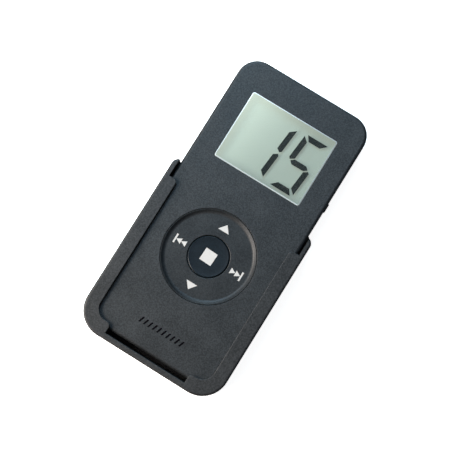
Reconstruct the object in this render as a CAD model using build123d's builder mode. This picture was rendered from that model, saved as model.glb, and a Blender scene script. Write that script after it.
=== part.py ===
"""Handheld radio remote for shutters, seated in its wall cradle.

The object lies on the cradle's flat back: X across, Y up its length, Z out of the face. The origin is
at the middle of the outline, on the cradle's back face. All sizes are in millimetres.
"""

import os

from build123d import *

os.makedirs("parts", exist_ok=True)

# ---------------------------------------------------------------- driving sizes
overall_length = 108.9
bottom_y = -overall_length / 2

# cradle
cradle_width = 54.8
cradle_height = 65.0
plate_rise = 1.6
cradle_depth = 13.3
cradle_corner_r = 9.6
ear_corner_r = 2.6
back_plate = 1.7
side_wall = 1.7
bottom_wall = 2.1
lip_thickness = 1.2
lip_top = 58.2
lip_opening_width = 44.6
lip_inner_corner_r = 4.4
lip_foot_height = 5.7
slot_width = 31.0
wall_screw_r = 1.75
wall_screw_head_r = 2.95
wall_screw_spacing = 34.0
wall_screw_middle = 31.0

# handset
handset_width = 50.0
handset_depth = 10.0
handset_corner_r = 7.4
handset_bottom = 3.7
shell_wall = 1.5
face_edge_r = 1.1
back_edge_r = 1.6
parting_edge_r = 0.15
running_gap = 0.2
rear_shell_depth = 4.0
rear_floor = 1.4

# display
window_width = 33.6
window_height = 25.9
window_middle = 85.15
window_corner_r = 0.8
digit_height = 21.2
digit_width = 9.0
digit_stroke = 2.0
digit_pitch = 12.0
digit_gap = 0.3
digit_slant = 0.0875
last_digit_right = 14.1

# keys
ring_middle = 41.9
ring_r = 16.2
ring_gap = 0.2
ring_dish_r = 15.1
ring_dish_depth = 0.9
ring_plate = 1.3
stop_r = 7.1
stop_gap = 0.2
icon_thickness = 0.03
side_key_middle = 77.0
side_key_length = 3.3
side_key_height = 1.4
side_key_proud = 0.35

# inside
board_thickness = 1.0
board_underside = 5.1
cell_r = 12.25
cell_thickness = 3.0
cap_r = 13.3
cap_middle = 85.5
case_screw_x = 19.3
case_screw_low = 9.5
case_screw_high = 103.1

# ---------------------------------------------------------------- levels and stations worked out from them
handset_back = back_plate + running_gap
face = handset_back + handset_depth
lip_underside = cradle_depth - lip_thickness
split_line = handset_back + rear_shell_depth
rear_floor_top = handset_back + rear_floor
face_underside = face - shell_wall
board_bottom = handset_back + board_underside
board_top = board_bottom + board_thickness

handset_bottom_y = bottom_y + handset_bottom
handset_top_y = bottom_y + overall_length
handset_length = handset_top_y - handset_bottom_y
handset_middle_y = (handset_top_y + handset_bottom_y) / 2
window_y = bottom_y + window_middle
ring_y = bottom_y + ring_middle
cap_y = bottom_y + cap_middle
side_key_y = bottom_y + side_key_middle
screw_points = [
    (side * case_screw_x, bottom_y + height)
    for side in (-1, 1)
    for height in (case_screw_low, case_screw_high)
]


def finish(part, node):
    """Name a finished piece and write it to its own file."""
    part.label = node
    export_step(part, f"parts/{node}.step")


# ================================================================ CRADLE
# One moulding: back plate, side walls that end in two ears, lips that hold the handset in, and corner
# blocks that it stands on. The gap between the blocks is the long slot at the bottom.
pocket_half = cradle_width / 2 - side_wall
rest_y = handset_bottom_y - running_gap
pocket_corner_r = handset_corner_r + 0.1
slot_floor_y = bottom_y + bottom_wall
above_y = bottom_y + cradle_height + 5
lip_half = lip_opening_width / 2
slot_half = slot_width / 2

with BuildPart() as cradle_body:
    with BuildSketch():
        with Locations((0, bottom_y + cradle_height / 2)):
            Rectangle(cradle_width, cradle_height)
        fillet(vertices().group_by(Axis.Y)[0], radius=cradle_corner_r)
        fillet(vertices().group_by(Axis.Y)[-1], radius=ear_corner_r)
    extrude(amount=cradle_depth)
    fillet(faces().sort_by(Axis.Z)[-1].edges(), radius=0.8)
    fillet(faces().sort_by(Axis.Z)[0].edges(), radius=0.5)

    # pocket for the handset, under the lips
    with BuildSketch(Plane.XY.offset(back_plate)):
        with Locations((0, (rest_y + above_y) / 2)):
            Rectangle(2 * pocket_half, above_y - rest_y)
        fillet(vertices().group_by(Axis.Y)[0], radius=pocket_corner_r)
    extrude(amount=lip_underside - back_plate, mode=Mode.SUBTRACT)

    # opening between the lips, with its soft corners and the step down to the slot
    with BuildSketch(Plane.XY.offset(lip_underside)):
        with BuildLine():
            left = FilletPolyline(
                (-lip_half, bottom_y + lip_top),
                (-lip_half, bottom_y + lip_foot_height),
                (-slot_half, bottom_y + lip_foot_height),
                (-slot_half, slot_floor_y),
                radius=[lip_inner_corner_r, 1.5],
            )
            right = FilletPolyline(
                (lip_half, bottom_y + lip_top),
                (lip_half, bottom_y + lip_foot_height),
                (slot_half, bottom_y + lip_foot_height),
                (slot_half, slot_floor_y),
                radius=[lip_inner_corner_r, 1.5],
            )
            Line(left @ 1, right @ 1)
            Line(left @ 0, right @ 0)
        make_face()
    extrude(amount=lip_thickness, mode=Mode.SUBTRACT)

    # slot between the corner blocks, down to the back plate
    with BuildSketch(Plane.XY.offset(back_plate)):
        with Locations((0, (slot_floor_y + rest_y) / 2)):
            Rectangle(slot_width, rest_y - slot_floor_y)
    extrude(amount=cradle_depth, mode=Mode.SUBTRACT)

    # above the lips only the thin ears stand
    with BuildSketch(Plane.XY.offset(back_plate)):
        with Locations((0, (bottom_y + lip_top + above_y) / 2)):
            Rectangle(2 * pocket_half, above_y - bottom_y - lip_top)
    extrude(amount=cradle_depth, mode=Mode.SUBTRACT)

    # the back plate runs on a little above the ears
    with BuildSketch():
        with Locations((0, bottom_y + cradle_height)):
            RectangleRounded(2 * pocket_half, 2 * plate_rise, 1.0)
    extrude(amount=back_plate)

    # rounded free corners of the lips, and a broken edge round the opening
    lip_ends = (
        edges()
        .filter_by(Axis.Z)
        .filter_by(lambda e: abs(abs(e.center().X) - lip_half) < 0.01)
        .filter_by(lambda e: abs(e.center().Y - bottom_y - lip_top) < 0.01)
    )
    fillet(lip_ends, radius=1.5)
    opening_edges = (
        faces()
        .filter_by(Plane.XY)
        .sort_by(Axis.Z)[-1]
        .edges()
        .filter_by(lambda e: abs(e.center().X) < lip_half + 2.0)
        .filter_by(lambda e: e.center().Y > bottom_y + 1.5)
    )
    fillet(opening_edges, radius=0.25)

    # two countersunk holes for the wall screws
    with Locations(Plane.XY.offset(back_plate)):
        with Locations((0, bottom_y + wall_screw_middle)):
            with GridLocations(1, wall_screw_spacing, 1, 2):
                CounterSinkHole(radius=wall_screw_r, counter_sink_radius=wall_screw_head_r)
finish(cradle_body.part, "cradle_body")

# ================================================================ HANDSET SHELLS
side_switch_slot = side_key_length + 0.24
side_key_z = board_top + 0.85

# Front shell: face and upper side walls in one moulding, open at the window and round the ring, with
# screw bosses and a guide wall for the ring.
collar_inner_r = ring_r + 1.3
collar_outer_r = collar_inner_r + 1.0

with BuildPart() as front_shell:
    with BuildSketch(Plane.XY.offset(split_line)):
        with Locations((0, handset_middle_y)):
            RectangleRounded(handset_width, handset_length, handset_corner_r)
    extrude(amount=face - split_line)
    fillet(faces().sort_by(Axis.Z)[-1].edges(), radius=face_edge_r)
    fillet(faces().sort_by(Axis.Z)[0].edges(), radius=parting_edge_r)
    with BuildSketch(Plane.XY.offset(split_line)):
        with Locations((0, handset_middle_y)):
            RectangleRounded(
                handset_width - 2 * shell_wall,
                handset_length - 2 * shell_wall,
                handset_corner_r - shell_wall,
            )
    extrude(amount=face_underside - split_line, mode=Mode.SUBTRACT)
    with BuildSketch(Plane.XY.offset(face_underside)):
        with Locations(*screw_points):
            Circle(2.3)
    extrude(amount=split_line - face_underside)
    with BuildSketch(Plane.XY.offset(face_underside)):
        with Locations((0, ring_y)):
            Circle(collar_outer_r)
            Circle(collar_inner_r, mode=Mode.SUBTRACT)
    extrude(amount=board_top + 0.6 - face_underside)
    with BuildSketch(Plane.XY.offset(face_underside)):
        with Locations((0, ring_y)):
            Circle(ring_r + ring_gap)
        with Locations((0, window_y)):
            RectangleRounded(window_width, window_height, window_corner_r)
    extrude(amount=shell_wall, mode=Mode.SUBTRACT)
    with BuildSketch(Plane.XY.offset(split_line)):
        with Locations(*screw_points):
            Circle(1.0)
    extrude(amount=3.6, mode=Mode.SUBTRACT)
    with BuildSketch(Plane.YZ.offset(handset_width / 2 - shell_wall - 1)):
        with Locations((side_key_y, side_key_z)):
            RectangleRounded(side_switch_slot, side_key_height + 0.24, 0.4)
    extrude(amount=shell_wall + 2, mode=Mode.SUBTRACT)
    rim_edges = (
        faces()
        .filter_by(Plane.XY)
        .sort_by(Axis.Z)[-1]
        .edges()
        .filter_by(lambda e: abs(e.center().X) < ring_r + 1.5)
        .filter_by(lambda e: abs(e.center().Y - handset_middle_y) < handset_length / 2 - 3)
    )
    fillet(rim_edges, radius=0.15)
finish(front_shell.part, "front_shell")

# Rear shell: tray with a locating lip inside the joint line, a round battery opening with three bayonet
# notches, the wall round the cell, screw sockets and the hole of the pairing button.
lip_wall = 0.7
lug_count = 3
lug_r = cap_r + 0.9
cap_turn = 45.0
cell_wall_inner_r = lug_r + 0.4
pairing_y = bottom_y + 68.6
pairing_r = 1.5
screw_head_r = 1.9
screw_seat = handset_back + 1.8

with BuildPart() as rear_shell:
    with BuildSketch(Plane.XY.offset(handset_back)):
        with Locations((0, handset_middle_y)):
            RectangleRounded(handset_width, handset_length, handset_corner_r)
    extrude(amount=rear_shell_depth)
    fillet(faces().sort_by(Axis.Z)[0].edges(), radius=back_edge_r)
    fillet(faces().sort_by(Axis.Z)[-1].edges(), radius=parting_edge_r)
    with BuildSketch(Plane.XY.offset(rear_floor_top)):
        with Locations((0, handset_middle_y)):
            RectangleRounded(
                handset_width - 2 * shell_wall,
                handset_length - 2 * shell_wall,
                handset_corner_r - shell_wall,
            )
    extrude(amount=rear_shell_depth, mode=Mode.SUBTRACT)
    with BuildSketch(Plane.XY.offset(rear_floor_top)):
        with Locations((0, handset_middle_y)):
            RectangleRounded(
                handset_width - 2 * shell_wall - 0.1,
                handset_length - 2 * shell_wall - 0.1,
                handset_corner_r - shell_wall - 0.05,
            )
            RectangleRounded(
                handset_width - 2 * (shell_wall + lip_wall),
                handset_length - 2 * (shell_wall + lip_wall),
                handset_corner_r - shell_wall - lip_wall,
                mode=Mode.SUBTRACT,
            )
    extrude(amount=split_line + 0.6 - rear_floor_top)
    with BuildSketch(Plane.XY.offset(rear_floor_top)):
        with Locations((0, cap_y)):
            Circle(cell_wall_inner_r + 1.0)
            Circle(cell_wall_inner_r, mode=Mode.SUBTRACT)
        with Locations((0, pairing_y)):
            Circle(pairing_r + 1.1)
    extrude(amount=2.6)
    with BuildSketch(Plane.XY.offset(rear_floor_top)):
        with Locations(*screw_points):
            Circle(2.9)
    extrude(amount=split_line - 0.1 - rear_floor_top)
    with BuildSketch(Plane.XY.offset(handset_back)):
        with Locations((0, cap_y)):
            Circle(cap_r + 0.15)
            with PolarLocations(0, lug_count, start_angle=90 + cap_turn):
                with Locations((cap_r, 0)):
                    Rectangle(2.2, 7.0)
    extrude(amount=rear_floor, mode=Mode.SUBTRACT)
    with BuildSketch(Plane.XY.offset(handset_back)):
        with Locations((0, pairing_y)):
            Circle(pairing_r + 0.12)
        with Locations(*screw_points):
            Circle(1.2)
    extrude(amount=rear_shell_depth + 1, mode=Mode.SUBTRACT)
    with BuildSketch(Plane.XY.offset(handset_back)):
        with Locations(*screw_points):
            Circle(screw_head_r + 0.2)
    extrude(amount=screw_seat - handset_back, mode=Mode.SUBTRACT)
    label_width = 30.0
    label_height = 22.0
    label_y = bottom_y + 36.0
    label_recess = 0.15
    with BuildSketch(Plane.XY.offset(handset_back)):
        with Locations((0, label_y)):
            RectangleRounded(label_width + 0.6, label_height + 0.6, 1.3)
    extrude(amount=label_recess, mode=Mode.SUBTRACT)
finish(rear_shell.part, "rear_shell")

# Rating label: blank foil in its recess on the back.
with BuildPart() as rating_label:
    with BuildSketch(Plane.XY.offset(handset_back + label_recess)):
        with Locations((0, label_y)):
            RectangleRounded(label_width, label_height, 1.0)
    extrude(amount=-0.1)
finish(rating_label.part, "rating_label")

# Case screws: four pan-head self-tapping screws, driven from the back.
with BuildPart() as case_screws:
    with BuildSketch(Plane.XY.offset(screw_seat)):
        with Locations(*screw_points):
            Circle(screw_head_r)
    extrude(amount=-1.3)
    fillet(faces().group_by(Axis.Z)[0].edges(), radius=0.4)
    with BuildSketch(Plane.XY.offset(screw_seat)):
        with Locations(*screw_points):
            Circle(0.95)
    extrude(amount=5.4)
    with BuildSketch(Plane.XY.offset(screw_seat - 1.3)):
        with Locations(*screw_points):
            Rectangle(2.0, 0.45)
            Rectangle(0.45, 2.0)
    extrude(amount=0.8, mode=Mode.SUBTRACT)
finish(case_screws.part, "case_screws")

# ================================================================ DISPLAY
lens_flange = 0.7
glass_thickness = 0.9
lens_bottom = face_underside - lens_flange
glass_top = lens_bottom - 0.05
glass_bottom = glass_top - glass_thickness
glass_width = 36.6
glass_height = 28.6
sheet_thickness = 0.2

# Window: clear moulding that fills the opening from inside, with a flange glued under the face.
with BuildPart() as display_window:
    with BuildSketch(Plane.XY.offset(lens_bottom)):
        with Locations((0, window_y)):
            RectangleRounded(window_width + 2.6, window_height + 2.6, 1.6)
    extrude(amount=lens_flange)
    with BuildSketch(Plane.XY.offset(face_underside)):
        with Locations((0, window_y)):
            RectangleRounded(window_width - 0.1, window_height - 0.1, window_corner_r)
    extrude(amount=shell_wall + 0.1)
    fillet(faces().sort_by(Axis.Z)[-1].edges(), radius=0.4)
finish(display_window.part, "display_window")

# Display glass: two bonded sheets, with the elastomer contact along its top edge underneath.
with BuildPart() as display_glass:
    with BuildSketch(Plane.XY.offset(glass_bottom)):
        with Locations((0, window_y)):
            Rectangle(glass_width, glass_height)
    extrude(amount=glass_thickness)
finish(display_glass.part, "display_glass")


def segment_outlines(name):
    """Corner points of one display bar, measured from the digit's middle left edge."""
    half = digit_height / 2
    w, s, g = digit_width, digit_stroke, digit_gap
    upright = [(0, 0.9), (0, half - g - 0.5), (s, half - s - g - 0.2), (s, 1.25), (0.6, g)]
    flat = [(g + 0.5, half), (w - g, half), (w - s - g, half - s), (s + g, half - s)]
    centre = [(1.1, 0), (2.2, s / 2), (w - 2.2, s / 2), (w - 1.1, 0), (w - 2.2, -s / 2), (2.2, -s / 2)]
    return {
        "top": flat,
        "bottom": [(w - x, -y) for x, y in flat],
        "middle": centre,
        "upper_left": upright,
        "upper_right": [(w - x, y) for x, y in upright],
        "lower_right": [(w - x, -y) for x, y in upright],
    }[name]


lit_bars = [
    (1, "upper_right"),
    (1, "lower_right"),
    (0, "top"),
    (0, "upper_left"),
    (0, "middle"),
    (0, "lower_right"),
    (0, "bottom"),
]

# Display digits: the dark bars that show 15, a leaning seven-bar figure of two places.
with BuildPart() as display_digits:
    with BuildSketch(Plane.XY.offset(glass_top)):
        for place, name in lit_bars:
            left_x = last_digit_right - place * digit_pitch - digit_width
            outline = [
                (left_x + x + y * digit_slant, window_y - 0.55 + y) for x, y in segment_outlines(name)
            ]
            Polygon(*outline, align=None)
    extrude(amount=0.04)
finish(display_digits.part, "display_digits")

# Reflector: pale sheet under the glass, short of the contact strip.
strip_width = 0.9
with BuildPart() as display_reflector:
    with BuildSketch(Plane.XY.offset(glass_bottom)):
        with Locations((0, window_y - strip_width / 2)):
            Rectangle(glass_width, glass_height - strip_width)
    extrude(amount=-sheet_thickness)
finish(display_reflector.part, "display_reflector")

# Contact strip: elastomer bar between the board and the glass.
with BuildPart() as contact_strip:
    with BuildSketch(Plane.XY.offset(board_top)):
        with Locations((0, window_y + (glass_height - strip_width) / 2 + 0.1)):
            Rectangle(glass_width - 4, strip_width - 0.2)
    extrude(amount=glass_bottom - board_top)
finish(contact_strip.part, "contact_strip")

# Display holder: moulded frame that stands on the board round the glass.
with BuildPart() as display_holder:
    with BuildSketch(Plane.XY.offset(board_top)):
        with Locations((0, window_y)):
            RectangleRounded(glass_width + 2.2, glass_height + 2.2, 1.0)
            Rectangle(glass_width + 0.2, glass_height + 0.2, mode=Mode.SUBTRACT)
    extrude(amount=glass_top - board_top)
finish(display_holder.part, "display_holder")

# ================================================================ FOUR-WAY RING AND STOP BUTTON
annulus_top = face - ring_dish_depth
ring_underside = annulus_top - ring_plate
flange_top = face_underside - 0.5
ring_hole_r = stop_r + stop_gap

# Ring: dished disc with a raised rim level with the face; a hidden flange keeps it under the shell.
with BuildPart() as dpad_ring:
    with BuildSketch(Plane.XZ.offset(-ring_y)):
        with BuildLine():
            Polyline(
                (ring_hole_r, ring_underside),
                (ring_hole_r, annulus_top),
                (ring_dish_r, annulus_top),
                (ring_r - 0.15, face),
                (ring_r, face),
                (ring_r, flange_top),
                (ring_r + 0.9, flange_top),
                (ring_r + 0.9, flange_top - 0.7),
                (ring_r - 1.4, flange_top - 0.7),
                (ring_r - 1.9, ring_underside),
                close=True,
            )
        make_face()
        fillet(vertices().sort_by_distance((ring_dish_r, annulus_top)).first, radius=1.2)
        fillet(vertices().sort_by_distance((ring_hole_r, annulus_top)).first, radius=0.2)
    revolve(axis=Axis((0, ring_y, 0), (0, 0, 1)))
finish(dpad_ring.part, "dpad_ring")


def arrow(x, y, across, along):
    """Corners of a triangle with its base centred on (x, y), pointing to +Y, or -Y if along is negative."""
    return [(x - across / 2, y), (x + across / 2, y), (x, y + along)]


def side_arrow(x, y, across, along):
    """Corners of a triangle with its base centred on (x, y), pointing to +X, or -X if along is negative."""
    return [(x, y - across / 2), (x, y + across / 2), (x + along, y)]


# Ring icons: printed arrows, up and down above and below, previous and next at the sides.
arrow_start = 10.1
arrow_width = 4.1
arrow_length = 2.6
skip_width = 2.1
skip_length = 1.9
skip_bar = 0.6
skip_bar_height = 3.3
skip_start = 8.7
with BuildPart() as ring_icons:
    with BuildSketch(Plane.XY.offset(annulus_top)):
        Polygon(*arrow(-0.2, ring_y + arrow_start - 0.2, arrow_width, arrow_length), align=None)
        Polygon(*arrow(-0.1, ring_y - arrow_start - 0.2, arrow_width, -arrow_length), align=None)
        for side, line_y in ((-1, ring_y - 0.4), (1, ring_y)):
            for step in (0, 1):
                base_x = side * (skip_start + step * skip_length)
                Polygon(*side_arrow(base_x, line_y, skip_width, side * skip_length), align=None)
            with Locations((side * (skip_start + 2 * skip_length + skip_bar / 2), line_y)):
                Rectangle(skip_bar, skip_bar_height)
    extrude(amount=icon_thickness)
finish(ring_icons.part, "ring_icons")

# Stop button: separate round cap with a shallow hollow, a flange under the ring and a short plunger.
stop_floor = annulus_top - 0.1
stop_flat_r = 3.5
stop_underside = ring_underside - 0.7
with BuildPart() as stop_button:
    with BuildSketch(Plane.XZ.offset(-ring_y)):
        with BuildLine():
            Line((0, stop_floor), (stop_flat_r, stop_floor))
            Spline(
                (stop_flat_r, stop_floor),
                (stop_r - 0.35, annulus_top),
                tangents=[(1, 0), (1, 0.12)],
            )
            Polyline(
                (stop_r - 0.35, annulus_top),
                (stop_r, annulus_top - 0.3),
                (stop_r, ring_underside - 0.3),
                (stop_r + 0.9, ring_underside - 0.3),
                (stop_r + 0.9, stop_underside),
                (0, stop_underside),
                (0, stop_floor),
            )
        make_face()
    revolve(axis=Axis((0, ring_y, 0), (0, 0, 1)))
finish(stop_button.part, "stop_button")

# Stop icon: printed square.
with BuildPart() as stop_icon:
    with BuildSketch(Plane.XY.offset(stop_floor)):
        with Locations(Location((0, ring_y), -2)):
            Rectangle(4.5, 4.5)
    extrude(amount=icon_thickness)
finish(stop_icon.part, "stop_icon")

# Ring cushion: silicone gimbal ring that carries the four-way ring over the keypad mat.
cushion_inner_r = stop_r + 1.6
cushion_outer_r = cushion_inner_r + 1.5
mat_top = board_top + 0.5
with BuildPart() as ring_cushion:
    with BuildSketch(Plane.XY.offset(mat_top + 0.3)):
        with Locations((0, ring_y)):
            Circle(cushion_outer_r)
            Circle(cushion_inner_r, mode=Mode.SUBTRACT)
    extrude(amount=ring_underside - 0.3 - mat_top - 0.3)
finish(ring_cushion.part, "ring_cushion")

# ================================================================ BOARD AND ITS PARTS
dome_r = 2.5
dome_height = 0.25
dome_circle_r = 11.0
key_points = [(0, ring_y)] + [
    (dome_circle_r * x, ring_y + dome_circle_r * y) for x, y in ((1, 0), (0, 1), (-1, 0), (0, -1))
]

# Circuit board: one plate that follows the shells, notched round the screw bosses.
with BuildPart() as circuit_board:
    with BuildSketch(Plane.XY.offset(board_bottom)):
        with Locations((0, handset_middle_y)):
            RectangleRounded(handset_width - 6.0, handset_length - 6.0, 3.5)
        with Locations(*screw_points):
            Circle(2.8, mode=Mode.SUBTRACT)
            Rectangle(7.2, 7.2, mode=Mode.SUBTRACT)
    extrude(amount=board_thickness)
finish(circuit_board.part, "circuit_board")

# Snap domes: five thin metal discs, one under each key position.
with BuildPart() as snap_domes:
    with BuildSketch(Plane.XY.offset(board_top)):
        with Locations(*key_points):
            Circle(dome_r)
    extrude(amount=dome_height)
    fillet(faces().group_by(Axis.Z)[-1].edges(), radius=0.2)
finish(snap_domes.part, "snap_domes")

# Keypad mat: silicone sheet over the domes, relieved below for each.
with BuildPart() as keypad_mat:
    with BuildSketch(Plane.XY.offset(board_top)):
        with Locations((0, ring_y)):
            Circle(ring_r - 0.6)
    extrude(amount=mat_top - board_top)
    with BuildSketch(Plane.XY.offset(board_top)):
        with Locations(*key_points):
            Circle(dome_r + 0.2)
    extrude(amount=dome_height + 0.05, mode=Mode.SUBTRACT)
finish(keypad_mat.part, "keypad_mat")

# Controller chip: square package under the board.
with BuildPart() as controller_chip:
    with BuildSketch(Plane.XY.offset(board_bottom)):
        with Locations((0, bottom_y + 46)):
            Rectangle(10, 10)
    extrude(amount=-1.2)
    chamfer(faces().sort_by(Axis.Z)[0].edges(), length=0.2)
finish(controller_chip.part, "controller_chip")

# Radio can: folded metal screen over the transmitter, at the lower end.
with BuildPart() as radio_can:
    with BuildSketch(Plane.XY.offset(board_top)):
        with Locations((0, bottom_y + 17)):
            Rectangle(18, 11)
    extrude(amount=1.8)
    fillet(edges().filter_by(Axis.Z), radius=0.5)
    fillet(faces().sort_by(Axis.Z)[-1].edges(), radius=0.2)
    with BuildSketch(Plane.XY.offset(board_top)):
        with Locations((0, bottom_y + 17)):
            Rectangle(17.6, 10.6)
    extrude(amount=1.6, mode=Mode.SUBTRACT)
finish(radio_can.part, "radio_can")

# Crystal: small metal can under the board.
with BuildPart() as crystal:
    with BuildSketch(Plane.XY.offset(board_bottom)):
        with Locations((11, bottom_y + 46)):
            SlotOverall(7.0, 2.6, rotation=90)
    extrude(amount=-1.3)
finish(crystal.part, "crystal")

# Surface parts: resistors and capacitors under the board.
with BuildPart() as surface_parts:
    with BuildSketch(Plane.XY.offset(board_bottom)):
        with Locations((0, bottom_y + 33)):
            with GridLocations(3.4, 3.2, 6, 3):
                Rectangle(2.0, 1.25)
    extrude(amount=-0.6)
finish(surface_parts.part, "surface_parts")

# Antenna: bent wire that stands off the board along its left edge.
wire_r = 0.3
with BuildPart() as antenna:
    with BuildLine() as antenna_path:
        FilletPolyline(
            (-20.6, bottom_y + 20, board_top),
            (-20.6, bottom_y + 20, board_top + 1.2),
            (-20.6, bottom_y + 62, board_top + 1.2),
            (-20.6, bottom_y + 62, board_top),
            radius=0.8,
        )
    with BuildSketch(Plane((-20.6, bottom_y + 20, board_top), z_dir=(0, 0, 1))):
        Circle(wire_r)
    sweep(path=antenna_path.line)
finish(antenna.part, "antenna")

# ================================================================ SIDE KEY AND PAIRING BUTTON
key_inner_x = handset_width / 2 - shell_wall - 0.75
key_outer_x = handset_width / 2 + side_key_proud

# Side key: small bar through the right wall, kept in by an inner flange.
with BuildPart() as side_key:
    with BuildSketch(Plane.YZ.offset(key_inner_x)):
        with Locations((side_key_y, side_key_z)):
            RectangleRounded(side_key_length, side_key_height, 0.3)
    extrude(amount=key_outer_x - key_inner_x)
    fillet(faces().sort_by(Axis.X)[-1].edges(), radius=0.25)
    with BuildSketch(Plane.YZ.offset(key_inner_x)):
        with Locations((side_key_y, side_key_z)):
            RectangleRounded(side_key_length + 1.4, side_key_height, 0.3)
    extrude(amount=0.65)
finish(side_key.part, "side_key")

# Side switch: push switch at the board's edge, facing the key.
with BuildPart() as side_switch:
    with BuildSketch(Plane.XY.offset(board_top)):
        with Locations((20.9, side_key_y)):
            Rectangle(2.2, 4.5)
    extrude(amount=1.5)
    with BuildSketch(Plane.YZ.offset(21.9)):
        with Locations((side_key_y, side_key_z)):
            Rectangle(1.6, 0.8)
    extrude(amount=0.4)
finish(side_switch.part, "side_switch")

# Pairing button: round pin that sits sunk in its hole in the back.
with BuildPart() as pairing_button:
    with BuildSketch(Plane.XY.offset(handset_back + 0.4)):
        with Locations((0, pairing_y)):
            Circle(pairing_r)
    extrude(amount=3.8)
    fillet(faces().sort_by(Axis.Z)[0].edges(), radius=0.3)
    with BuildSketch(Plane.XY.offset(rear_floor_top + 2.7)):
        with Locations((0, pairing_y)):
            Circle(pairing_r + 0.6)
    extrude(amount=0.2)
finish(pairing_button.part, "pairing_button")

# Pairing switch: push switch under the board, above the button.
with BuildPart() as pairing_switch:
    with BuildSketch(Plane.XY.offset(board_bottom)):
        with Locations((0, pairing_y)):
            Rectangle(3.6, 3.0)
    extrude(amount=-0.45)
finish(pairing_switch.part, "pairing_switch")

# ================================================================ BATTERY
cap_plate = 1.2
cell_bottom = handset_back + cap_plate + 0.2
cell_top = cell_bottom + cell_thickness
skirt_top = rear_floor_top + 1.0

# Battery cap: coin-slotted disc with a skirt round the cell and three bayonet lugs behind the shell.
with BuildPart() as battery_cap:
    with BuildSketch(Plane.XY.offset(handset_back)):
        with Locations((0, cap_y)):
            Circle(cap_r)
    extrude(amount=cap_plate)
    chamfer(faces().sort_by(Axis.Z)[0].edges(), length=0.25)
    with BuildSketch(Plane.XY.offset(handset_back + cap_plate)):
        with Locations((0, cap_y)):
            Circle(cap_r)
            Circle(cell_r + 0.35, mode=Mode.SUBTRACT)
    extrude(amount=skirt_top - handset_back - cap_plate)
    with BuildSketch(Plane.XY.offset(rear_floor_top + 0.2)):
        with Locations((0, cap_y)):
            with PolarLocations(0, lug_count, start_angle=90):
                with Locations((cap_r + 0.1, 0)):
                    Rectangle(1.4, 5.0)
            Circle(cell_r + 0.35, mode=Mode.SUBTRACT)
    extrude(amount=0.8)
    with BuildSketch(Plane.XY.offset(handset_back)):
        with Locations((0, cap_y)):
            SlotOverall(15.0, 2.0)
    extrude(amount=0.7, mode=Mode.SUBTRACT)
finish(battery_cap.part, "battery_cap")

# Coin cell.
with BuildPart() as coin_cell:
    with BuildSketch(Plane.XY.offset(cell_bottom)):
        with Locations((0, cap_y)):
            Circle(cell_r)
    extrude(amount=cell_thickness)
    fillet(faces().sort_by(Axis.Z)[0].edges(), radius=0.5)
    chamfer(faces().sort_by(Axis.Z)[-1].edges(), length=0.4)
finish(coin_cell.part, "coin_cell")

# Minus contact: leaf under the board, over the middle of the cell.
with BuildPart() as minus_contact:
    with BuildSketch(Plane.XY.offset(board_bottom)):
        with Locations((0, cap_y)):
            RectangleRounded(14, 4, 1)
    extrude(amount=-(board_bottom - cell_top - 0.1) / 2)
    with BuildSketch(Plane.XY.offset(board_bottom)):
        with Locations((0, cap_y)):
            Circle(1.6)
    extrude(amount=-(board_bottom - cell_top))
finish(minus_contact.part, "minus_contact")

# Plus contact: upright spring tab at the rim of the cell.
with BuildPart() as plus_contact:
    with BuildSketch(Plane.XY.offset(board_bottom)):
        with Locations((cell_r + 1.2, cap_y)):
            Rectangle(2.2, 6)
    extrude(amount=-0.3)
    with BuildSketch(Plane.XY.offset(board_bottom - 0.3)):
        with Locations((cell_r + 0.3, cap_y)):
            Rectangle(0.4, 6)
    extrude(amount=-1.9)
finish(plus_contact.part, "plus_contact")
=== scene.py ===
import math

import bmesh
import bpy
from mathutils import Matrix, Vector


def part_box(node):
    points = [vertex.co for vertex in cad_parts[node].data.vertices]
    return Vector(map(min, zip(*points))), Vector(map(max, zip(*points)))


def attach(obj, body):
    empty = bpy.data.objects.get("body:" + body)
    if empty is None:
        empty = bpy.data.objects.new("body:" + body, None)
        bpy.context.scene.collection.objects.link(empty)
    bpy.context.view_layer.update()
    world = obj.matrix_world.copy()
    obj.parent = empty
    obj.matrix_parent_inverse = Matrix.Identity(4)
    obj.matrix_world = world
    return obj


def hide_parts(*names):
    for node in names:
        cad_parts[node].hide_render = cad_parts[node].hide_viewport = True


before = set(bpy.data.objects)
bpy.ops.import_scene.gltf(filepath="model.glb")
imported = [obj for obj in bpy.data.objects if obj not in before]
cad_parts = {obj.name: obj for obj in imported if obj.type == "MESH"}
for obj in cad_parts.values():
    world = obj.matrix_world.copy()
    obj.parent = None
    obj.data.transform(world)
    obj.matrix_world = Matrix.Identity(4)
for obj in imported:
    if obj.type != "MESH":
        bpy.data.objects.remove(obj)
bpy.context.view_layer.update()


# ---- Wall cradle ----------------------------------------------------------------------------------
# One deep moulding in black ABS with a fine spark-eroded grain. The handset slides into it from above
# and the two lips hold it in. The same black plastic, smoother or finer, makes every other hard part.
MM = 0.001


def new_finish(name, colour, roughness, metallic=0.0, specular=0.5):
    """A material with its Principled shader set to plain values, which pattern nodes may then vary."""
    material = bpy.data.materials.new(name)
    material.use_nodes = True
    nodes, links = material.node_tree.nodes, material.node_tree.links
    shader = nodes["Principled BSDF"]
    shader.inputs["Base Color"].default_value = (*colour, 1)
    shader.inputs["Roughness"].default_value = roughness
    shader.inputs["Metallic"].default_value = metallic
    shader.inputs["Specular IOR Level"].default_value = specular
    place = nodes.new("ShaderNodeTexCoord").outputs["Object"]
    return material, nodes, links, shader, place


def noise(nodes, links, place, size, detail=2.0, roughness=0.5):
    """A noise pattern whose blobs measure about size, in metres."""
    texture = nodes.new("ShaderNodeTexNoise")
    texture.inputs["Scale"].default_value = 1 / size
    texture.inputs["Detail"].default_value = detail
    texture.inputs["Roughness"].default_value = roughness
    links.new(place, texture.inputs["Vector"])
    return texture.outputs["Fac"]


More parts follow.
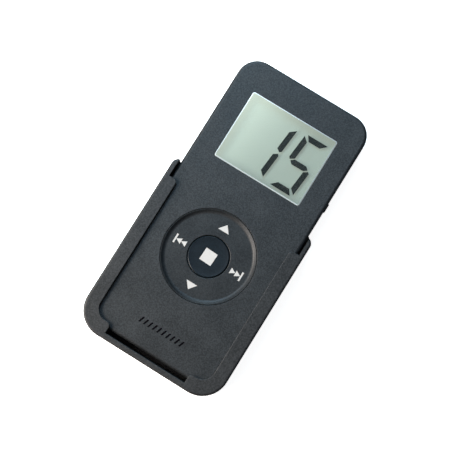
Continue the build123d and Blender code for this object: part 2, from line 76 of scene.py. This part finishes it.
def spread(nodes, links, value, low, high, start=0.3, end=0.7):
    """Maps a value's start..end onto low..high, and holds it there outside them."""
    ramp = nodes.new("ShaderNodeMapRange")
    ramp.inputs["From Min"].default_value = start
    ramp.inputs["From Max"].default_value = end
    ramp.inputs["To Min"].default_value = low
    ramp.inputs["To Max"].default_value = high
    links.new(value, ramp.inputs["Value"])
    return ramp.outputs["Result"]


def blend_colours(nodes, links, value, dark, light):
    """Fades from the dark to the light colour as the value goes from 0 to 1."""
    mix = nodes.new("ShaderNodeMix")
    mix.data_type = "RGBA"
    mix.inputs["A"].default_value = (*dark, 1)
    mix.inputs["B"].default_value = (*light, 1)
    links.new(value, mix.inputs["Factor"])
    return mix.outputs["Result"]


def grain(nodes, links, shader, height, depth):
    """Raises the surface by depth, in metres, where the pattern is light."""
    bump = nodes.new("ShaderNodeBump")
    bump.inputs["Distance"].default_value = depth
    links.new(height, bump.inputs["Height"])
    links.new(bump.outputs["Normal"], shader.inputs["Normal"])


def moulded_plastic(name, dark, light, grain_size, grain_depth, roughness, specular=0.35):
    """Moulded plastic: eroded grain, a slight cloudiness in its colour, and handling marks in its gloss."""
    cloud_size = 9 * MM
    grain_share = 0.75
    material, nodes, links, shader, place = new_finish(name, dark, roughness, specular=specular)
    speckle = noise(nodes, links, place, grain_size, detail=3)
    cloud = noise(nodes, links, place, cloud_size, detail=4)
    tint = nodes.new("ShaderNodeMath")
    tint.operation = "ADD"
    links.new(spread(nodes, links, speckle, 0.0, grain_share, start=0.35, end=0.65), tint.inputs[0])
    links.new(spread(nodes, links, cloud, 0.0, 1 - grain_share), tint.inputs[1])
    links.new(blend_colours(nodes, links, tint.outputs[0], dark, light), shader.inputs["Base Color"])
    links.new(spread(nodes, links, cloud, roughness - 0.04, roughness + 0.05), shader.inputs["Roughness"])
    grain(nodes, links, shader, speckle, grain_depth)
    return material


def dress(node, material):
    """Gives a carried-over part its material."""
    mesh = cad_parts[node].data
    mesh.materials.clear()
    mesh.materials.append(material)


dress("cradle_body", moulded_plastic(
    "cradle_black", (0.004, 0.0044, 0.0048), (0.028, 0.0285, 0.030), 0.45 * MM, 0.05 * MM, 0.52
))

# ---- Handset shells -------------------------------------------------------------------------------
# Front and rear shells, moulded in the same black plastic with a finer grain, meet in a hairline at
# half depth. Four screws from the back hold them together.
case_black = moulded_plastic(
    "case_black", (0.004, 0.0048, 0.0056), (0.026, 0.0285, 0.031), 0.42 * MM, 0.045 * MM, 0.5
)
dress("front_shell", case_black)
dress("rear_shell", case_black)
dress("battery_cap", case_black)

# ---- Display window -------------------------------------------------------------------------------
# Clear acrylic moulding with rounded rims, glued in from inside the front shell. Lamps shine through
# it, so that the display behind it is lit. Its rounded rim is a pale surface that glows: a painted white
# highlight line, brightest at the top left.
def new_piece(name, shape, body):
    """Closes a bmesh into a piece that rides on a body; its material is appended afterwards."""
    piece_mesh = bpy.data.meshes.new(name)
    shape.to_mesh(piece_mesh)
    shape.free()
    piece = bpy.data.objects.new(name, piece_mesh)
    bpy.context.scene.collection.objects.link(piece)
    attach(piece, body)
    return piece


def clear_pane(name, tint, ior, roughness):
    """Clear glass or acrylic that bends what is seen but lets the lamps' light straight through."""
    material, nodes, links, shader, _ = new_finish(name, tint, roughness)
    shader.inputs["Transmission Weight"].default_value = 1.0
    shader.inputs["IOR"].default_value = ior
    open_way = nodes.new("ShaderNodeBsdfTransparent")
    open_way.inputs["Color"].default_value = (*tint, 1)
    choose = nodes.new("ShaderNodeMixShader")
    links.new(nodes.new("ShaderNodeLightPath").outputs["Is Shadow Ray"], choose.inputs["Fac"])
    links.new(shader.outputs["BSDF"], choose.inputs[1])
    links.new(open_way.outputs["BSDF"], choose.inputs[2])
    links.new(choose.outputs["Shader"], nodes["Material Output"].inputs["Surface"])
    return material


def along(nodes, links, place, direction):
    """How far a place lies along a direction, counted from the middle of the object."""
    distance = nodes.new("ShaderNodeVectorMath")
    distance.operation = "DOT_PRODUCT"
    distance.inputs[1].default_value = direction
    links.new(place, distance.inputs[0])
    return distance.outputs["Value"]


# The window's own faces that lean between upright and level are its rounded rim.
upright, level = 0.1, 0.99
window = bmesh.new()
window.from_mesh(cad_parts["display_window"].data)
bmesh.ops.remove_doubles(window, verts=window.verts, dist=0.001 * MM)
for facet in window.faces:
    facet.material_index = int(upright < facet.normal.z < level)
window_pane = new_piece("window_pane", window, "handset")
window_pane.data.materials.append(clear_pane("window_acrylic", (0.97, 0.99, 0.98), 1.2, 0.0))
# Painted highlight: the rim is pale and glows, most strongly towards the upper left corner, with a faint
# mottle.
rim, nodes, links, shader, place = new_finish("window_rim_painted_glow", (0.26, 0.30, 0.32), 0.35)
to_painted_glow_corner = along(nodes, links, place, (-0.55, 0.83, 0))
painted_rim_glow = spread(nodes, links, to_painted_glow_corner, 0.0, 1.0, start=30 * MM, end=46 * MM)
links.new(
    blend_colours(nodes, links, painted_rim_glow, (0.20, 0.22, 0.22), (0.52, 0.60, 0.64)),
    shader.inputs["Emission Color"],
)
links.new(spread(nodes, links, painted_rim_glow, 1.0, 1.6, start=0.0, end=1.0), shader.inputs["Emission Strength"])
rim_highlight_mottle = noise(nodes, links, place, 0.5 * MM)
links.new(
    blend_colours(nodes, links, rim_highlight_mottle, (0.22, 0.26, 0.28), (0.30, 0.34, 0.36)), shader.inputs["Base Color"]
)
window_pane.data.materials.append(rim)
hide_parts("display_window")

# ---- Display --------------------------------------------------------------------------------------
# Liquid-crystal display: two bonded glasses with the darkened bars of the number on top, and under them
# a pale grey-green pearly sheet that glows with painted light, brightest at its upper left end and fading to
# the right.
dress("display_glass", clear_pane("display_glass", (0.95, 0.98, 0.96), 1.15, 0.0))

reflector, nodes, links, shader, place = new_finish("reflector_sheet_painted_glow", (0.15, 0.17, 0.16), 0.45, metallic=0.2)
pearl = noise(nodes, links, place, 0.35 * MM, detail=2)
links.new(
    blend_colours(nodes, links, pearl, (0.13, 0.15, 0.14), (0.17, 0.19, 0.18)), shader.inputs["Base Color"]
)
# Painted light: the sheet glows, brightest at its upper left end and falling off towards the right.
to_painted_glow_end = along(nodes, links, place, (-1, 0.3, 0))
painted_glow_share = spread(nodes, links, to_painted_glow_end, 0.0, 1.0, start=-10 * MM, end=30 * MM)
fall_off = 3.0
painted_glow_falloff = nodes.new("ShaderNodeMath")
painted_glow_falloff.operation = "POWER"
links.new(painted_glow_share, painted_glow_falloff.inputs[0])
painted_glow_falloff.inputs[1].default_value = fall_off
links.new(
    blend_colours(nodes, links, painted_glow_falloff.outputs[0], (0.215, 0.235, 0.215), (0.60, 0.67, 0.60)),
    shader.inputs["Emission Color"],
)
shader.inputs["Emission Strength"].default_value = 1.0
dress("display_reflector", reflector)

bars, nodes, links, shader, place = new_finish("display_bars", (0.016, 0.019, 0.020), 0.5, specular=0.0)
unevenness = noise(nodes, links, place, 3 * MM)
links.new(
    blend_colours(nodes, links, unevenness, (0.013, 0.017, 0.018), (0.020, 0.022, 0.022)),
    shader.inputs["Base Color"],
)
dress("display_digits", bars)

# The glass stands in a milky moulded holder. A banded silicone strip along its top edge, black where it
# conducts and grey where it insulates, joins it to the board.
dress("display_holder", moulded_plastic(
    "holder_milky", (0.55, 0.55, 0.52), (0.66, 0.66, 0.63), 0.8 * MM, 0.01 * MM, 0.45
))
strip, nodes, links, shader, place = new_finish("banded_silicone", (0.06, 0.05, 0.05), 0.6)
bands = nodes.new("ShaderNodeTexWave")
bands.inputs["Scale"].default_value = 1 / (3 * MM)
links.new(place, bands.inputs["Vector"])
links.new(
    blend_colours(nodes, links, bands.outputs["Fac"], (0.02, 0.02, 0.02), (0.11, 0.085, 0.08)),
    shader.inputs["Base Color"],
)
dress("contact_strip", strip)

# ---- Ring and stop button -------------------------------------------------------------------------
# The four-way ring and the stop button are moulded finer than the case, the button almost polished, and
# their signs are printed in white. The side key and the pairing button are of the button's plastic. The
# ring rocks on a soft silicone gimbal, and the silicone mat below it presses the snap domes.
dress("dpad_ring", moulded_plastic(
    "ring_black", (0.004, 0.005, 0.006), (0.020, 0.022, 0.024), 0.4 * MM, 0.02 * MM, 0.45
))
stop_black = moulded_plastic(
    "stop_black", (0.002, 0.004, 0.006), (0.006, 0.011, 0.016), 0.3 * MM, 0.004 * MM, 0.38, 0.24
)
for node in ("stop_button", "side_key", "pairing_button"):
    dress(node, stop_black)

white_print, nodes, links, shader, place = new_finish("white_print", (0.5, 0.5, 0.48), 0.5, specular=0.2)
ink_cover = noise(nodes, links, place, 0.4 * MM)
links.new(
    blend_colours(nodes, links, ink_cover, (0.46, 0.43, 0.41), (0.52, 0.49, 0.46)),
    shader.inputs["Base Color"],
)
dress("ring_icons", white_print)
dress("stop_icon", white_print)


def silicone(name, dark, light):
    """Soft rubber with a dull, faintly dusty surface."""
    return moulded_plastic(name, dark, light, 0.5 * MM, 0.01 * MM, 0.7)


dress("ring_cushion", silicone("silicone_dark", (0.03, 0.03, 0.033), (0.05, 0.05, 0.055)))
dress("keypad_mat", silicone("silicone_grey", (0.20, 0.21, 0.22), (0.26, 0.27, 0.28)))

# ---- Slat mark ------------------------------------------------------------------------------------
# Row of slanted slats, the sign for a blind, across the foot of the face. It is a thick gloss black
# print, so the slats stand a hair above the grain and their corners are soft.
slat_count = 10
slat_width = 0.62 * MM
slat_height = 2.1 * MM
slat_pitch = 1.75 * MM
slat_lean = 0.35
slat_corner = 0.15 * MM
mark_rise = 8.6 * MM
print_thickness = 0.03 * MM
face_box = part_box("front_shell")
mark_place = Vector((0, face_box[0].y + mark_rise, face_box[1].z + print_thickness / 2))
slats = bmesh.new()
for number in range(slat_count):
    slat = bmesh.ops.create_cube(slats, size=1)["verts"]
    bmesh.ops.scale(slats, verts=slat, vec=(slat_width, slat_height, print_thickness))
    across = (number - (slat_count - 1) / 2) * slat_pitch
    bmesh.ops.translate(slats, verts=slat, vec=mark_place + Vector((across, 0, 0)))
lean = Matrix.Identity(4)
lean[0][1] = slat_lean
bmesh.ops.transform(slats, matrix=lean, space=Matrix.Translation(-mark_place), verts=slats.verts)
corners = [e for e in slats.edges if abs(e.verts[0].co.z - e.verts[1].co.z) > print_thickness / 2]
bmesh.ops.bevel(
    slats, geom=corners, offset=slat_corner, affect="EDGES", segments=3, profile=0.5, material=-1
)
slat_mark = new_piece("slat_mark", slats, "handset")
slat_mark.data.materials.append(moulded_plastic(
    "gloss_print", (0.001, 0.001, 0.0015), (0.002, 0.002, 0.003), 0.4 * MM, 0.003 * MM, 0.25, 0.08
))

# ---- Back of the handset --------------------------------------------------------------------------
# Blank satin foil label in its recess, four plated screws, and the battery cap with its index marks:
# a white triangle on the cap, a dot beside it where it is shut and a ring where it comes free.
def plated_metal(name, dark, light, streak, roughness):
    """Bare or plated metal with fine streaks along the part's length."""
    streak_stretch = 0.06
    material, nodes, links, shader, place = new_finish(name, light, roughness, metallic=1.0)
    stretch = nodes.new("ShaderNodeMapping")
    stretch.inputs["Scale"].default_value = (1, streak_stretch, 1)
    links.new(place, stretch.inputs["Vector"])
    streaks = noise(nodes, links, stretch.outputs["Vector"], streak, detail=3)
    links.new(blend_colours(nodes, links, streaks, dark, light), shader.inputs["Base Color"])
    links.new(spread(nodes, links, streaks, roughness - 0.06, roughness + 0.08), shader.inputs["Roughness"])
    grain(nodes, links, shader, streaks, 0.002 * MM)
    return material


dress("rating_label", plated_metal("label_foil", (0.52, 0.53, 0.54), (0.64, 0.65, 0.66), 0.15 * MM, 0.42))
dress("case_screws", plated_metal("screw_zinc", (0.36, 0.37, 0.39), (0.5, 0.51, 0.53), 0.1 * MM, 0.32))

cap_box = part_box("battery_cap")
cap_centre = (cap_box[0] + cap_box[1]) / 2
cap_r = 13.3 * MM
arrow_r = 1.1 * MM
arrow_inset = 2.4 * MM
mark_r = 0.7 * MM
mark_hole_r = 0.4 * MM
mark_outset = 1.8 * MM
round_sides = 24
shut_turn = 90
open_turn = shut_turn + 45


def flat_mark(sides, radius, turn, from_centre, hole=0.0):
    """A printed disc, ring or triangle on the back, at a turn in degrees round the battery cap."""
    mark = bmesh.new()
    bmesh.ops.create_circle(mark, cap_ends=True, segments=sides, radius=radius)
    if hole:
        bmesh.ops.inset_region(mark, faces=mark.faces, thickness=radius - hole, use_boundary=True)
        middle = min(mark.faces, key=lambda face: face.calc_center_median().length)
        bmesh.ops.delete(mark, geom=[middle], context="FACES")
    turn = math.radians(turn)
    spot = cap_centre + Vector((math.cos(turn), math.sin(turn), 0)) * from_centre
    spot.z = cap_box[0].z
    bmesh.ops.solidify(mark, geom=mark.faces, thickness=print_thickness)
    point_outwards = Matrix.Rotation(turn - math.pi / 2, 4, "Z")
    bmesh.ops.transform(mark, matrix=Matrix.Translation(spot) @ point_outwards, verts=mark.verts)
    bmesh.ops.recalc_face_normals(mark, faces=mark.faces)
    return mark


def print_mark(name, mark, body):
    """Makes a mark a white printed piece on a body."""
    new_piece(name, mark, body).data.materials.append(white_print)


cap_arrow = flat_mark(3, arrow_r, shut_turn, cap_r - arrow_inset)
shut_dot = flat_mark(round_sides, mark_r, shut_turn, cap_r + mark_outset)
open_ring = flat_mark(round_sides, mark_r, open_turn, cap_r + mark_outset, hole=mark_hole_r)
print_mark("cap_arrow", cap_arrow, "battery_door")
print_mark("shut_dot", shut_dot, "handset")
print_mark("open_ring", open_ring, "handset")

# ---- Board and battery ----------------------------------------------------------------------------
# Green glass-fibre board with copper tracks showing faintly through the mask. Chip and switches are black
# epoxy, the radio screen is tinned, and the cell and its springs are nickel-plated steel.
board, nodes, links, shader, place = new_finish("board_green", (0.01, 0.06, 0.03), 0.35)
tracks = nodes.new("ShaderNodeTexBrick")
track_spacing = 6 * MM
track_height = 0.02 * MM
tracks.inputs["Scale"].default_value = 1 / track_spacing
tracks.inputs["Mortar Size"].default_value = 0.06
tracks.inputs["Color1"].default_value = (0.010, 0.055, 0.028, 1)
tracks.inputs["Color2"].default_value = (0.012, 0.065, 0.033, 1)
tracks.inputs["Mortar"].default_value = (0.03, 0.13, 0.06, 1)
links.new(place, tracks.inputs["Vector"])
links.new(tracks.outputs["Color"], shader.inputs["Base Color"])
grain(nodes, links, shader, tracks.outputs["Fac"], -track_height)
dress("circuit_board", board)

epoxy = moulded_plastic(
    "chip_epoxy", (0.010, 0.010, 0.011), (0.022, 0.022, 0.024), 0.15 * MM, 0.008 * MM, 0.55
)
for node in ("controller_chip", "side_switch", "pairing_switch"):
    dress(node, epoxy)
dress("surface_parts", moulded_plastic(
    "chip_ceramic", (0.16, 0.11, 0.07), (0.24, 0.17, 0.11), 0.4 * MM, 0.006 * MM, 0.4
))
tinplate = plated_metal("tinplate", (0.5, 0.5, 0.49), (0.66, 0.66, 0.65), 0.3 * MM, 0.34)
dress("radio_can", tinplate)
dress("crystal", tinplate)
nickel = plated_metal("nickel_steel", (0.46, 0.45, 0.43), (0.6, 0.59, 0.57), 0.12 * MM, 0.26)
for node in ("snap_domes", "coin_cell", "minus_contact", "plus_contact"):
    dress(node, nickel)
dress("antenna", plated_metal("tinned_copper", (0.6, 0.42, 0.28), (0.72, 0.55, 0.4), 0.2 * MM, 0.3))

# ---- Studio ---------------------------------------------------------------------------------------
# White paper floor on a faintly glowing table, in a room that is bright overhead and dim at the walls.
# Four soft panels stand round it: a warm key and a low warm one at the left, and two cool ones at the
# top left. The floor looks white but sends little light back up, as if dark flags lay on it.
floor_half_width = 3.0
floor_shape = bmesh.new()
bmesh.ops.create_grid(floor_shape, x_segments=1, y_segments=1, size=floor_half_width)
floor_mesh = bpy.data.meshes.new("floor")
floor_shape.to_mesh(floor_mesh)
floor_shape.free()
floor = bpy.data.objects.new("floor", floor_mesh)
bpy.context.scene.collection.objects.link(floor)
paper, nodes, links, shader, _ = new_finish("floor_paper", (0.9, 0.9, 0.9), 0.9)
shader.inputs["Emission Color"].default_value = (1, 1, 1, 1)
shader.inputs["Emission Strength"].default_value = 0.9
flagged = nodes.new("ShaderNodeBsdfDiffuse")
flagged.inputs["Color"].default_value = (0.2, 0.2, 0.2, 1)
paper_or_flag = nodes.new("ShaderNodeMixShader")
links.new(nodes.new("ShaderNodeLightPath").outputs["Is Camera Ray"], paper_or_flag.inputs["Fac"])
links.new(flagged.outputs["BSDF"], paper_or_flag.inputs[1])
links.new(shader.outputs["BSDF"], paper_or_flag.inputs[2])
links.new(paper_or_flag.outputs["Shader"], nodes["Material Output"].inputs["Surface"])
floor_mesh.materials.append(paper)
floor_gap = 0.1 * MM
floor.location.z = -floor_gap

world = bpy.data.worlds.new("studio")
bpy.context.scene.world = world
world.use_nodes = True
nodes, links = world.node_tree.nodes, world.node_tree.links
sky_direction = nodes.new("ShaderNodeTexCoord").outputs["Generated"]
towards_lamps = along(nodes, links, sky_direction, (-0.42, 0.08, 0.90))
brightness = spread(nodes, links, towards_lamps, 0.03, 0.33, start=0.3, end=1.0)
seen = nodes.new("ShaderNodeMix")
links.new(nodes.new("ShaderNodeLightPath").outputs["Is Camera Ray"], seen.inputs["Factor"])
links.new(brightness, seen.inputs["A"])
seen.inputs["B"].default_value = 1.0
sky = nodes["Background"]
sky.inputs["Color"].default_value = (0.90, 0.95, 1.0, 1)
links.new(seen.outputs["Result"], sky.inputs["Strength"])


def panel(name, aim, turn, lift, distance, size, power, colour):
    """A soft rectangular lamp that faces aim from a compass turn and a height angle, in degrees."""
    lamp = bpy.data.lights.new(name, "AREA")
    lamp.shape = "RECTANGLE"
    lamp.size, lamp.size_y = size
    lamp.energy = power
    lamp.color = colour
    holder = bpy.data.objects.new(name, lamp)
    bpy.context.scene.collection.objects.link(holder)
    turn, lift = math.radians(turn), math.radians(lift)
    way = Vector((math.cos(turn) * math.cos(lift), math.sin(turn) * math.cos(lift), math.sin(lift)))
    holder.location = Vector(aim) + way * distance
    holder.rotation_euler = way.to_track_quat("Z", "Y").to_euler()
    holder.visible_transmission = False


panel(
    "low_warm_panel", aim=(0, -0.01, 0), turn=226, lift=15, distance=0.45,
    size=(0.3, 0.10), power=2.1, colour=(1.0, 0.92, 0.86),
)
panel(
    "low_cool_panel", aim=(0, -0.01, 0), turn=118, lift=14, distance=0.45,
    size=(0.3, 0.10), power=0.6, colour=(0.70, 0.9, 1.0),
)
panel(
    "key_panel", aim=(-0.01, -0.03, 0), turn=204, lift=43, distance=0.40,
    size=(0.24, 0.16), power=2.4, colour=(1.0, 0.92, 0.83),
)
panel(
    "cool_panel", aim=(-0.01, 0.05, 0), turn=135, lift=55, distance=0.34,
    size=(0.22, 0.22), power=1.25, colour=(0.50, 0.78, 1.0),
)

bpy.context.scene.view_settings.view_transform = "Standard"

# ---- Camera ---------------------------------------------------------------------------------------
# A long lens almost straight above the face, slightly towards its foot, turned so that the handset
# leans to the right.
camera = bpy.data.objects.new("camera", bpy.data.cameras.new("camera"))
bpy.context.scene.collection.objects.link(camera)
camera.data.lens = 91.5
camera.data.clip_start = 0.01
camera.location = (0.02734, -0.03475, 0.40145)
camera.rotation_euler = (math.radians(6.237), math.radians(0.675), math.radians(31.846))
bpy.context.scene.camera = camera
